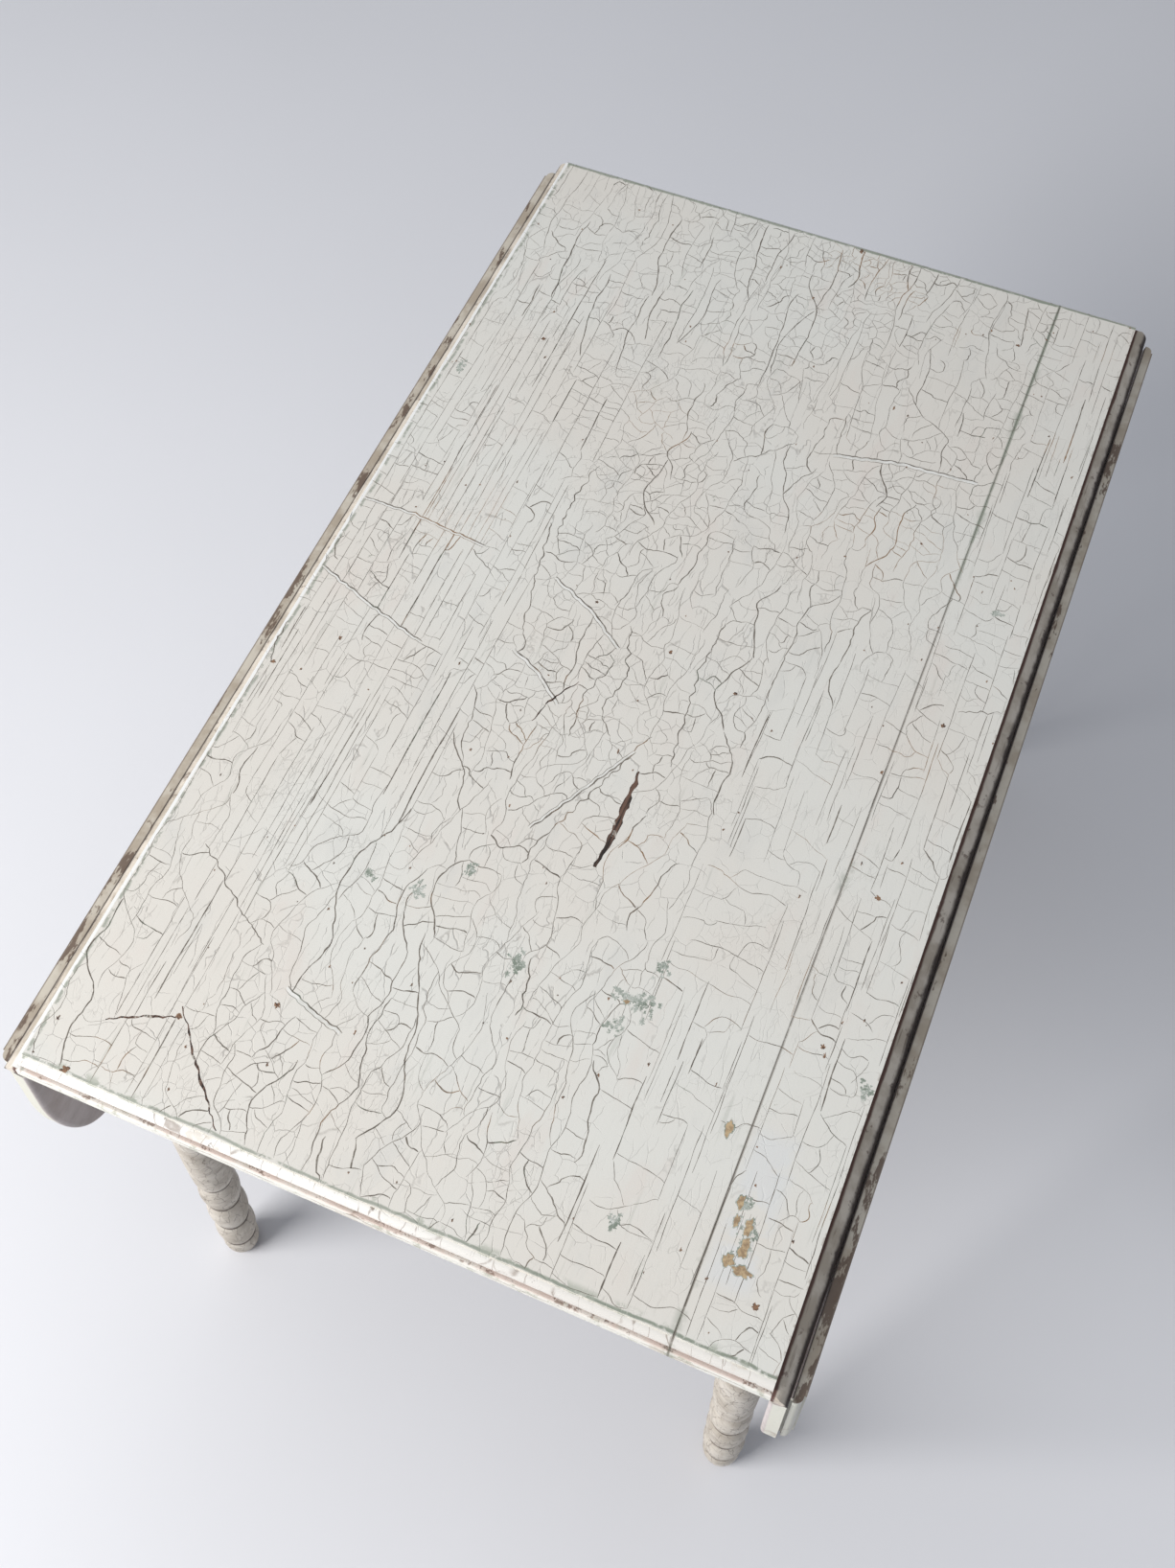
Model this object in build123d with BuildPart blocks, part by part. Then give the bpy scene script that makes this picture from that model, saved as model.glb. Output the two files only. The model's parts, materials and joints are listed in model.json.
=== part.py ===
from build123d import *
import os

# Drop leaf table, millimetres.
# Frame: origin on the floor at the middle of the table, +Z up, +Y along the longest side, +X to the right.
# The front end is at -Y. Both leaves hang at rest.

# Driving dimensions
height = 737.0                # floor to top face
face_width = 635.0            # flat top face, between the rule joints
face_length = 1108.0          # flat top face, between the end mouldings
board_thickness = 24.5        # top boards and leaves
seam_x = 238.0                # glue line between the wide and the narrow top board
seam_chamfer = 0.5

# Rule joint between top and leaf
joint_step = 10.5             # square fillet above the ovolo
ovolo_radius = 13.5           # convex half, on the top
cove_gap = 1.2                # running gap between ovolo and cove
nose_gap = 0.6                # gap at the fillet with the leaf raised

# Thumbnail moulding on the ends of the top and around the leaves
moulding_out = 10.0           # beyond the flat face
moulding_step = 1.6           # square step down from the flat face
moulding_roll = 6.4           # radius of the roll
quirk_depth = 2.6             # groove under the roll, into the edge
quirk_height = 2.4
band_round = 4.0              # lower rounding of the band
band_ease = 1.5               # worn upper corner of the band
roll_bottom = 8.6             # top face to the underside of the roll

# Leaves; their outer corners are quarter ellipses
leaf_reach = 217.0            # hinge pin to the free edge
leaf_shortening = 3.0         # each end of a leaf, inside the end of the top
corner_run = 60.0             # corner, along the leaf
corner_drop = 145.0           # corner, from hinge edge to free edge
leaf_ledge = 1.0              # flat between the step and the roll
roll_flat = 0.3               # upright below the roll

# Legs
leg_x = 285.0
leg_y = 458.0
block_side = 50.0
block_height = 140.0
bead_radius = 21.6
groove_radius = 17.6
foot_radius = 14.5            # on the floor
foot_belly_radius = 19.5
groove_heights = [38.0, 94.0, 156.0, 216.0]
shaft_low_radius = 21.0       # shaft just above the beads
shaft_mid_radius = 22.6
shaft_neck_radius = 16.5
collar_radius = 23.0

# Rails
rail_thickness = 22.0
rail_height = 115.0
side_rail_outer_x = 290.0
end_rail_outer_y = 478.0
tenon_thickness = 10.0
tenon_length = 22.0
tenon_shoulder = 15.0         # above and below the tenon
peg_radius = 4.0
peg_length = 36.0
peg_spread = 45.0

# Glue blocks and top screws
glue_block_side = 24.0
glue_block_length = 70.0
screw_radius = 2.0
screw_head_radius = 3.8
screw_head_height = 1.8
top_screw_length = 38.0
stay_screw_length = 32.0

# Drop leaf hinges
hinge_places = [-400.0, 0.0, 400.0]
hinge_length = 40.0
plate_thickness = 1.8
plate_start = 3.0             # plate edge from the pin axis
top_plate_reach = 26.0
leaf_plate_reach = 48.0
knuckle_radius = 2.6
knuckle_half = 6.7            # half length of the leaf's middle knuckle
knuckle_space = 0.3           # end play beside the middle knuckle
pin_radius = 1.3
pin_clearance = 0.05
recess_clearance = 0.5

# Stays that swing up under the leaves
stay_places = [-210.0, 210.0]
stay_pivot_x = 302.0
stay_pivot_drop = 67.4        # below the hinge pin
stay_length = 132.0           # pivot to the middle of the rounded end
stay_thickness = 13.0
stay_width = 24.0
stay_pin_radius = 3.0
bracket_cheek = 12.0
bracket_height = 34.0
bracket_back = 4.0
stop_start = 113.5            # stop block from the hinge pin, along the leaf
stop_width = 18.0
stop_thickness = 5.0
stop_length = 60.0

# Worked out
pin_x = face_width / 2
pin_drop = joint_step + ovolo_radius
pin_z = height - pin_drop
underside = height - board_thickness
under_pin = board_thickness - pin_drop      # pin axis to the underside
cove_radius = ovolo_radius + cove_gap
half_length = face_length / 2 + moulding_out
leaf_half_length = half_length - leaf_shortening
beyond = 20.0                 # cutters run this far past the wood
block_bottom = underside - block_height
rail_bottom = underside - rail_height
leg_corners = {
    "front_left": (-leg_x, -leg_y),
    "front_right": (leg_x, -leg_y),
    "back_left": (-leg_x, leg_y),
    "back_right": (leg_x, leg_y),
}
sides = {"left": -1, "right": 1}

os.makedirs("parts", exist_ok=True)


def save(piece, name):
    piece.label = name
    export_step(piece, f"parts/{name}.step")


def disc(plane, radius):
    """Round sketch on a plane."""
    with BuildSketch(plane) as circle:
        Circle(radius)
    return circle.sketch


def block(x0, x1, y0, y1, z0, z1, mode=Mode.ADD):
    """Box between two corners, in the open part."""
    middle = ((x0 + x1) / 2, (y0 + y1) / 2, (z0 + z1) / 2)
    with Locations(middle):
        Box(abs(x1 - x0), abs(y1 - y0), abs(z1 - z0), mode=mode)


def rod_y(x, y, z, radius, length, mode=Mode.ADD):
    """Cylinder along Y, in the open part."""
    with Locations(Location((x, y, z), (90, 0, 0))):
        Cylinder(radius, length, mode=mode)


# ---- fixed top ----
def top_board(x_from, x_to):
    """One board of the top, between two X planes, with its ends and rule joints worked."""
    edge = face_length / 2
    roll_edge = edge + moulding_roll
    band_edge = edge + moulding_out
    roll_middle = height - moulding_step
    with BuildPart() as board:
        with BuildSketch(Plane.YZ.offset(x_from)):
            with BuildLine():
                Line((0, underside), (0, height))
                Line((0, height), (edge, height))
                Line((edge, height), (edge, roll_middle))
                RadiusArc((edge, roll_middle), (roll_edge, roll_middle - moulding_roll), moulding_roll)
                Polyline(
                    (roll_edge, roll_middle - moulding_roll),
                    (roll_edge, height - roll_bottom),
                    (roll_edge - quirk_depth, height - roll_bottom),
                    (roll_edge - quirk_depth, height - roll_bottom - quirk_height),
                    (band_edge - band_ease, height - roll_bottom - quirk_height),
                    (band_edge, height - roll_bottom - quirk_height - band_ease),
                    (band_edge, underside + band_round),
                )
                RadiusArc((band_edge, underside + band_round), (band_edge - band_round, underside),
                          band_round)
                Line((band_edge - band_round, underside), (0, underside))
            make_face()
            mirror(about=Plane.YZ)
        extrude(amount=x_to - x_from)
        for side in sides.values():
            joint_face = side * pin_x
            outside = side * (pin_x + ovolo_radius + beyond)
            # square fillet, then the waste outside the ovolo
            cut_end = half_length + beyond
            block(joint_face, outside, -cut_end, cut_end, height - joint_step, height + beyond,
                  mode=Mode.SUBTRACT)
            with BuildSketch(Plane.XZ.offset(-cut_end)):
                with Locations(((joint_face + outside) / 2, pin_z + ovolo_radius / 2)):
                    Rectangle(ovolo_radius + beyond, ovolo_radius)
                with Locations((joint_face, pin_z)):
                    Circle(ovolo_radius, mode=Mode.SUBTRACT)
            extrude(amount=2 * cut_end, mode=Mode.SUBTRACT)
            for y in hinge_places:
                hinge_recess_in_top(side, y)
    return board.part


def hinge_recess_in_top(side, y):
    """Let in the barrel, and relieve the underside for the leaf's plate when the leaf is up."""
    wide = hinge_length / 2 + recess_clearance
    edge = side * (pin_x + ovolo_radius + 1)
    barrel = knuckle_radius + recess_clearance
    block(side * pin_x, edge, y - wide, y + wide, underside - 1, underside + recess_clearance,
          mode=Mode.SUBTRACT)
    block(side * (pin_x - barrel), side * (pin_x + barrel), y - wide, y + wide, underside - 1, pin_z,
          mode=Mode.SUBTRACT)
    rod_y(side * pin_x, y, pin_z, barrel, 2 * wide, mode=Mode.SUBTRACT)


board_edge = pin_x + ovolo_radius
wide_board = top_board(-board_edge, seam_x)
narrow_board = top_board(seam_x, board_edge)

with BuildPart() as top_board_wide:
    add(wide_board)
    chamfer(
        top_board_wide.edges().filter_by(Axis.Y).filter_by_position(Axis.Z, height - 0.1, height + 0.1)
        .sort_by(Axis.X)[-1],
        seam_chamfer)
save(top_board_wide.part, "top_board_wide")

with BuildPart() as top_board_narrow:
    add(narrow_board)
    chamfer(
        top_board_narrow.edges().filter_by(Axis.Y).filter_by_position(Axis.Z, height - 0.1, height + 0.1)
        .sort_by(Axis.X)[0],
        seam_chamfer)
save(top_board_narrow.part, "top_board_narrow")


# ---- leaves ----
def leaf_plane(side, above_pin):
    """Plane of a hanging leaf: local X runs down the leaf from the pin, Z out through its face."""
    return Plane(origin=(side * (pin_x + above_pin), 0, pin_z), x_dir=(0, 0, -1), z_dir=(side, 0, 0))


def leaf_outline(side, above_pin, inset):
    """Outline of one layer of a leaf, drawn in from the widest one."""
    reach = leaf_reach - inset
    half = leaf_half_length - inset
    run = corner_run - inset
    drop = corner_drop - inset
    corner = reach - drop
    with BuildSketch(leaf_plane(side, above_pin)) as outline:
        with BuildLine():
            Polyline((corner, half), (nose_gap, half), (nose_gap, -half), (corner, -half))
            EllipticalCenterArc((corner, run - half), drop, run, start_angle=270, arc_size=90)
            Line((reach, run - half), (reach, half - run))
            EllipticalCenterArc((corner, half - run), drop, run, start_angle=0, arc_size=90)
        make_face()
    return outline.sketch


def leaf_layer(side, above_pin, thickness, inset):
    extrude(leaf_outline(side, above_pin, inset), amount=thickness)


def leaf_part(side):
    face = pin_drop
    roll_low = face - roll_bottom
    band_top = roll_low - quirk_height
    roll_inset = moulding_out - moulding_roll
    with BuildPart() as leaf:
        leaf_layer(side, -under_pin, band_top + under_pin, 0)
        rim = leaf.faces().sort_by(Axis.X)[0 if side > 0 else -1].edges()
        far_rim = rim.filter_by_position(Axis.Z, pin_z - leaf_reach - 1, pin_z - nose_gap - 1)
        fillet(far_rim, band_round)
        leaf_layer(side, band_top, quirk_height, roll_inset + quirk_depth)
        leaf_layer(side, roll_low, roll_bottom - moulding_step - moulding_roll, roll_inset)
        leaf_layer(side, face - moulding_step - moulding_roll, moulding_roll, roll_inset)
        shoulder = leaf.faces().sort_by(Axis.X)[-1 if side > 0 else 0].edges()
        outer = shoulder.filter_by_position(Axis.Z, pin_z - leaf_reach - 1, pin_z - nose_gap - 1)
        fillet(outer, moulding_roll - roll_flat)
        leaf_layer(side, face - moulding_step, moulding_step, moulding_out + leaf_ledge)
        # cove of the rule joint, and the square edge below it
        rod_y(side * pin_x, 0, pin_z, cove_radius, 2 * half_length + 2, mode=Mode.SUBTRACT)
        block(side * (pin_x - under_pin - 1), side * pin_x, -half_length - 1, half_length + 1,
              pin_z - cove_radius, pin_z + 1, mode=Mode.SUBTRACT)
    return leaf.part


for name, side in sides.items():
    save(leaf_part(side), f"leaf_{name}")


# ---- legs ----
def leg_part(x, y):
    """Square block over a turned leg; the turning is one revolved profile."""
    ways = (1 if x > 0 else -1, 1 if y > 0 else -1)
    with BuildPart() as leg:
        with BuildSketch(Plane.XZ):
            with BuildLine():
                Line((0, 0), (foot_radius, 0))
                previous = (foot_radius, 0)
                belly_radius = foot_belly_radius
                for groove in groove_heights:
                    belly = (belly_radius, (previous[1] + groove) / 2)
                    ThreePointArc(previous, belly, (groove_radius, groove))
                    previous = (groove_radius, groove)
                    belly_radius = bead_radius
                lip = (shaft_low_radius, groove_heights[-1] + 12)
                ThreePointArc(previous, (groove_radius + 2, groove_heights[-1] + 5), lip)
                neck = (shaft_neck_radius, block_bottom - 74)
                Spline(lip, (shaft_mid_radius, 320), neck, tangents=[(0.05, 1), (-0.12, 1)])
                collar = (groove_radius, block_bottom - 62)
                ThreePointArc(neck, (shaft_neck_radius - 1.4, block_bottom - 68), collar)
                ThreePointArc(collar, (collar_radius, block_bottom - 42), (groove_radius, block_bottom - 22))
                ThreePointArc(
                    (groove_radius, block_bottom - 22),
                    (collar_radius - 0.8, block_bottom - 12),
                    (groove_radius, block_bottom - 3))
                Line((groove_radius, block_bottom - 3), (groove_radius, block_bottom + 1))
                Line((groove_radius, block_bottom + 1), (0, block_bottom + 1))
                Line((0, block_bottom + 1), (0, 0))
            make_face()
        revolve(axis=Axis.Z)
        with BuildSketch(Plane.XY.offset(block_bottom)):
            Rectangle(block_side, block_side)
        extrude(amount=block_height)
        block_under = leg.faces().filter_by(Axis.Z).filter_by_position(
            Axis.Z, block_bottom - 0.1, block_bottom + 0.1)
        chamfer(block_under.edges().filter_by(GeomType.LINE), 3)
    with BuildPart() as placed:
        add(leg.part.moved(Location((x, y, 0))))
        side_tenon(ways[0], ways[1], Mode.SUBTRACT)
        end_tenon(ways[0], ways[1], Mode.SUBTRACT)
    return placed.part


def side_tenon(x_way, y_way, mode):
    middle = side_rail_outer_x - rail_thickness / 2
    start = leg_y - block_side / 2
    block(x_way * (middle - tenon_thickness / 2), x_way * (middle + tenon_thickness / 2),
          y_way * start, y_way * (start + tenon_length),
          rail_bottom + tenon_shoulder, underside - tenon_shoulder, mode=mode)


def end_tenon(x_way, y_way, mode):
    middle = end_rail_outer_y - rail_thickness / 2
    start = leg_x - block_side / 2
    block(x_way * start, x_way * (start + tenon_length),
          y_way * (middle - tenon_thickness / 2), y_way * (middle + tenon_thickness / 2),
          rail_bottom + tenon_shoulder, underside - tenon_shoulder, mode=mode)


for name, (x, y) in leg_corners.items():
    save(leg_part(x, y), f"leg_{name}")

# ---- rails ----
side_rail_half = leg_y - block_side / 2
end_rail_half = leg_x - block_side / 2
for name, side in sides.items():
    with BuildPart() as side_rail:
        block(side * (side_rail_outer_x - rail_thickness), side * side_rail_outer_x,
              -side_rail_half, side_rail_half, rail_bottom, underside)
        chamfer(side_rail.edges().filter_by(Axis.Y).group_by(Axis.Z)[0], 1.5)
        side_tenon(side, -1, Mode.ADD)
        side_tenon(side, 1, Mode.ADD)
    save(side_rail.part, f"rail_{name}")

for name, way in {"front": -1, "back": 1}.items():
    with BuildPart() as end_rail:
        block(-end_rail_half, end_rail_half,
              way * (end_rail_outer_y - rail_thickness), way * end_rail_outer_y, rail_bottom, underside)
        chamfer(end_rail.edges().filter_by(Axis.X).group_by(Axis.Z)[0], 1.5)
        end_tenon(-1, way, Mode.ADD)
        end_tenon(1, way, Mode.ADD)
    save(end_rail.part, f"rail_{name}")

peg_heights = [rail_bottom + rail_height / 2 - peg_spread / 2, rail_bottom + rail_height / 2 + peg_spread / 2]
with BuildPart() as tenon_pegs:
    for x, y in leg_corners.values():
        x_way = 1 if x > 0 else -1
        y_way = 1 if y > 0 else -1
        for z in peg_heights:
            peg_x = x_way * (leg_x + block_side / 2 - peg_length / 2)
            with Locations(Location((peg_x, y_way * (side_rail_half + 8), z - 4), (0, 90, 0))):
                Cylinder(peg_radius, peg_length)
            peg_y = leg_y + block_side / 2 - peg_length / 2
            rod_y(x_way * (end_rail_half + 12), y_way * peg_y, z + 6, peg_radius, peg_length)
save(tenon_pegs.part, "tenon_pegs")

# ---- glue blocks and top screws ----
side_block_x = side_rail_outer_x - rail_thickness - glue_block_side / 2
end_block_y = end_rail_outer_y - rail_thickness - glue_block_side / 2
side_block_places = [-300.0, -105.0, 105.0, 300.0]
end_block_places = [-120.0, 120.0]
glue_middle = underside - glue_block_side / 2
for name, side in sides.items():
    with BuildPart() as glue_blocks_side:
        with Locations([(side * side_block_x, y, glue_middle) for y in side_block_places]):
            Box(glue_block_side, glue_block_length, glue_block_side)
    save(glue_blocks_side.part, f"glue_blocks_{name}")

for name, way in {"front": -1, "back": 1}.items():
    with BuildPart() as glue_blocks_end:
        with Locations([(x, way * end_block_y, glue_middle) for x in end_block_places]):
            Box(glue_block_length, glue_block_side, glue_block_side)
    save(glue_blocks_end.part, f"glue_blocks_{name}")


def wood_screw(plane, length):
    """Round-headed or let-in screw: its head lies outside the plane, its shank inside."""
    extrude(disc(plane, screw_radius), amount=-length)
    extrude(disc(plane, screw_head_radius), amount=screw_head_height, taper=25)


with BuildPart() as top_screws:
    under_blocks = underside - glue_block_side
    for side in sides.values():
        for y in side_block_places:
            seat = Plane(origin=(side * side_block_x, y, under_blocks), z_dir=(0, 0, -1))
            wood_screw(seat, top_screw_length)
    for way in (-1, 1):
        for x in end_block_places:
            seat = Plane(origin=(x, way * end_block_y, under_blocks), z_dir=(0, 0, -1))
            wood_screw(seat, top_screw_length)
save(top_screws.part, "top_screws")

# ---- drop leaf hinges ----
# Screw places on the plates: distance from the pin axis, and along the pin
top_screw_places = [(9.0, -12.0), (9.0, 12.0), (19.0, 0.0)]
leaf_screw_places = [(24.0, -12.0), (24.0, 12.0), (39.0, 0.0)]
hinge_screw_radius = 1.6
hinge_screw_head = 3.2
hinge_screw_length = 15.0


def screw_cone(plane, mode=Mode.ADD):
    """Countersunk head, or its seat, flush with the plane and tapering into the plate."""
    inner = plane.offset(-plate_thickness)
    loft([disc(plane, hinge_screw_head), disc(inner, hinge_screw_radius)], mode=mode)


def top_plate(side, y):
    """Plate screwed under the top, with the two outer knuckles."""
    plate_low = underside - plate_thickness
    with BuildPart() as plate:
        block(side * (pin_x - top_plate_reach), side * (pin_x - plate_start),
              y - hinge_length / 2, y + hinge_length / 2, plate_low, underside)
        for way in (-1, 1):
            inner = y + way * (knuckle_half + knuckle_space)
            outer = y + way * hinge_length / 2
            block(side * (pin_x - plate_start), side * pin_x, inner, outer, plate_low, underside)
            rod_y(side * pin_x, (inner + outer) / 2, pin_z, knuckle_radius, abs(outer - inner))
        rod_y(side * pin_x, y, pin_z, pin_radius, hinge_length + 1, mode=Mode.SUBTRACT)
        for away, along in top_screw_places:
            seat = Plane(origin=(side * (pin_x - away), y + along, plate_low), z_dir=(0, 0, -1))
            screw_cone(seat, Mode.SUBTRACT)
    return plate.part


def leaf_plate(side, y):
    """Plate screwed inside the hanging leaf, with the middle knuckle."""
    wood = side * (pin_x - under_pin)
    face = side * (pin_x - under_pin - plate_thickness)
    with BuildPart() as plate:
        block(face, wood, y - hinge_length / 2, y + hinge_length / 2,
              pin_z - leaf_plate_reach, pin_z - plate_start)
        block(face, wood, y - knuckle_half, y + knuckle_half, pin_z - plate_start, pin_z)
        rod_y(side * pin_x, y, pin_z, knuckle_radius, 2 * knuckle_half)
        rod_y(side * pin_x, y, pin_z, pin_radius + pin_clearance, hinge_length, mode=Mode.SUBTRACT)
        for away, along in leaf_screw_places:
            screw_cone(Plane(origin=(face, y + along, pin_z - away), z_dir=(-side, 0, 0)), Mode.SUBTRACT)
    return plate.part


for name, side in sides.items():
    for number, y in enumerate(hinge_places, 1):
        save(top_plate(side, y), f"hinge_{name}_{number}_top_plate")
        save(leaf_plate(side, y), f"hinge_{name}_{number}_leaf_plate")
        with BuildPart() as hinge_pin:
            rod_y(side * pin_x, y, pin_z, pin_radius, hinge_length)
        save(hinge_pin.part, f"hinge_{name}_{number}_pin")


def hinge_screw(plane):
    screw_cone(plane)
    extrude(disc(plane.offset(-plate_thickness), hinge_screw_radius), amount=-hinge_screw_length)


with BuildPart() as hinge_screws_top:
    for side in sides.values():
        for y in hinge_places:
            for away, along in top_screw_places:
                seat = (side * (pin_x - away), y + along, underside - plate_thickness)
                hinge_screw(Plane(origin=seat, z_dir=(0, 0, -1)))
save(hinge_screws_top.part, "hinge_screws_top")

for name, side in sides.items():
    with BuildPart() as hinge_screws_leaf:
        for y in hinge_places:
            for away, along in leaf_screw_places:
                seat = (side * (pin_x - under_pin - plate_thickness), y + along, pin_z - away)
                hinge_screw(Plane(origin=seat, z_dir=(-side, 0, 0)))
    save(hinge_screws_leaf.part, f"hinge_screws_leaf_{name}")

# ---- stays ----
stay_pivot_z = pin_z - stay_pivot_drop
stay_hole = stay_pin_radius + pin_clearance
bracket_out = stay_pivot_x + stay_thickness / 2
bracket_gap = stay_width / 2 + 0.5
for name, side in sides.items():
    for place, y in zip(("front", "back"), stay_places):
        with BuildPart() as stay_arm:
            with BuildSketch(Plane.XZ.offset(-y - stay_width / 2)):
                with Locations((side * stay_pivot_x, stay_pivot_z - stay_length / 2)):
                    SlotCenterToCenter(stay_length, stay_thickness, rotation=90)
                with Locations((side * stay_pivot_x, stay_pivot_z)):
                    Circle(stay_hole, mode=Mode.SUBTRACT)
            extrude(amount=stay_width)
            chamfer(stay_arm.edges().filter_by(Axis.Z), 1.5)
        save(stay_arm.part, f"stay_{name}_{place}")

        with BuildPart() as stay_bracket:
            reach = bracket_gap + bracket_cheek
            low = stay_pivot_z - bracket_height / 2
            high = stay_pivot_z + bracket_height / 2
            block(side * side_rail_outer_x, side * (side_rail_outer_x + bracket_back), y - reach, y + reach,
                  low, high)
            for way in (-1, 1):
                block(side * (side_rail_outer_x + bracket_back), side * bracket_out,
                      y + way * bracket_gap, y + way * reach, low, high)
            rod_y(side * stay_pivot_x, y, stay_pivot_z, stay_pin_radius, 2 * reach, mode=Mode.SUBTRACT)
        save(stay_bracket.part, f"stay_bracket_{name}_{place}")

for name, side in sides.items():
    with BuildPart() as stay_pins:
        for y in stay_places:
            rod_y(side * stay_pivot_x, y, stay_pivot_z, stay_pin_radius, 2 * (bracket_gap + bracket_cheek))
    save(stay_pins.part, f"stay_pins_{name}")

    with BuildPart() as stay_stops:
        leaf_inner = pin_x - under_pin
        for y in stay_places:
            block(side * (leaf_inner - stop_thickness), side * leaf_inner, y - stop_length / 2,
                  y + stop_length / 2, pin_z - stop_start - stop_width, pin_z - stop_start)
    save(stay_stops.part, f"stay_stops_{name}")

with BuildPart() as stay_screws:
    for side in sides.values():
        for y in stay_places:
            for way in (-1, 1):
                for lift in (-9.0, 9.0):
                    seat = Plane(
                        origin=(side * bracket_out, y + way * (bracket_gap + bracket_cheek / 2),
                                stay_pivot_z + lift),
                        z_dir=(side, 0, 0))
                    extrude(disc(seat, screw_head_radius), amount=-screw_head_height)
                    extrude(disc(seat, screw_radius), amount=-stay_screw_length)
save(stay_screws.part, "stay_screws")
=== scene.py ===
import json
import math
import random
from collections import namedtuple

import bpy
from mathutils import Matrix, Vector, noise


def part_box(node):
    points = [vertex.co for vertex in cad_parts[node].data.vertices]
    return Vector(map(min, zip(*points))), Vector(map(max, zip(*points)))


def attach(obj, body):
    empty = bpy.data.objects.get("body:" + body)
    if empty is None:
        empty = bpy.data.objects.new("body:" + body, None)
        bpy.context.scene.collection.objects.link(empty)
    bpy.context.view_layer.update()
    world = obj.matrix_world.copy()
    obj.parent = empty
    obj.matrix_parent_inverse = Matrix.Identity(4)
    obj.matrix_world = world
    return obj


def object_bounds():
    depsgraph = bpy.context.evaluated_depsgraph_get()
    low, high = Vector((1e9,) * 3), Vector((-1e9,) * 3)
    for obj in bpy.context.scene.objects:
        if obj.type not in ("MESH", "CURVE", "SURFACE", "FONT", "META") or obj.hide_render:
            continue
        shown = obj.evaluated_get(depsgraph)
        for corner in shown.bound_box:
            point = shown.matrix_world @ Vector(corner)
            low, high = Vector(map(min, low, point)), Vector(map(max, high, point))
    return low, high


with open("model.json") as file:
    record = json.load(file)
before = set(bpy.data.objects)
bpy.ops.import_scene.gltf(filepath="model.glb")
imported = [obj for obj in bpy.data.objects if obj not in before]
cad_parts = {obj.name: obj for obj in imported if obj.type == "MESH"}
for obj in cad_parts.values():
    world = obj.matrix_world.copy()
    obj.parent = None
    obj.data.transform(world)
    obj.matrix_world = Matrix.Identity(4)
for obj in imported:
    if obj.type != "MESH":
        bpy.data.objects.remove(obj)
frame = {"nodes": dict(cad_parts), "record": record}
cad_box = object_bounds()
nodes = frame["nodes"]

# ---- places on the table, in metres, from the frame ----
MM = 0.001
TOP = Vector(cad_box[1]).z
HALF_LENGTH = Vector(cad_box[1]).y - 10 * MM      # flat face of the top, without its end mouldings
HALF_WIDTH = 0.3175                               # flat face of the top, between the rule joints
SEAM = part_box("top_board_narrow")[0].x
LEAF_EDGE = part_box("leaf_right")[1].z
QUIRK = TOP - 9.8 * MM                            # middle of the groove in the end moulding


# ---- camera, light and floor ----
def make_camera():
    place = Vector((0.319, -0.924, 2.213))
    target = Vector((-0.087, 0.058, 0.737))
    roll = math.radians(0.27)
    data = bpy.data.cameras.new("camera")
    data.sensor_width = 36
    data.lens = 44.67
    data.shift_x = 0.0011
    data.shift_y = -0.139
    data.clip_end = 50
    camera = bpy.data.objects.new("camera", data)
    look = (target - place).to_track_quat("-Z", "Y").to_matrix().to_4x4()
    camera.matrix_world = Matrix.Translation(place) @ look @ Matrix.Rotation(roll, 4, "Z")
    bpy.context.scene.collection.objects.link(camera)
    bpy.context.scene.camera = camera


def area_light(name, place, target, size, power, colour):
    data = bpy.data.lights.new(name, "AREA")
    data.shape = "RECTANGLE"
    data.size, data.size_y = size
    data.energy = power
    data.color = colour
    light = bpy.data.objects.new(name, data)
    light.location = place
    light.rotation_euler = (Vector(target) - Vector(place)).to_track_quat("-Z", "Y").to_euler()
    bpy.context.scene.collection.objects.link(light)


def make_studio():
    world = bpy.data.worlds.new("studio")
    world.use_nodes = True
    sky = world.node_tree.nodes["Background"]
    sky.inputs["Color"].default_value = (0.88, 0.92, 1.0, 1)
    sky.inputs["Strength"].default_value = 0.33
    scene = bpy.context.scene
    scene.world = world
    area_light("window", (-2.3, -2.6, 2.4), (-0.2, -0.3, 0.3), (2.2, 1.8), 160, (1.0, 0.985, 0.965))
    area_light("ceiling", (-0.4, 0.0, 4.2), (0, -0.2, 0.5), (3.0, 3.0), 26, (0.95, 0.97, 1.0))
    scene.view_settings.view_transform = "Standard"
    scene.view_settings.look = "None"
    floor_mesh = bpy.data.meshes.new("floor")
    floor_mesh.from_pydata([(-9, -9, 0), (9, -9, 0), (9, 9, 0), (-9, 9, 0)], [], [(0, 1, 2, 3)])
    floor = bpy.data.objects.new("floor", floor_mesh)
    scene.collection.objects.link(floor)
    paper = Finish("paper_floor")
    cloud = paper.noise(paper.place, 1.5, 3, 0.5)
    paper.colour(paper.blend(cloud, (0.76, 0.765, 0.795), (0.80, 0.805, 0.84)))
    paper.put("Roughness", 0.8)
    floor_mesh.materials.append(paper.material)


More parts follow.
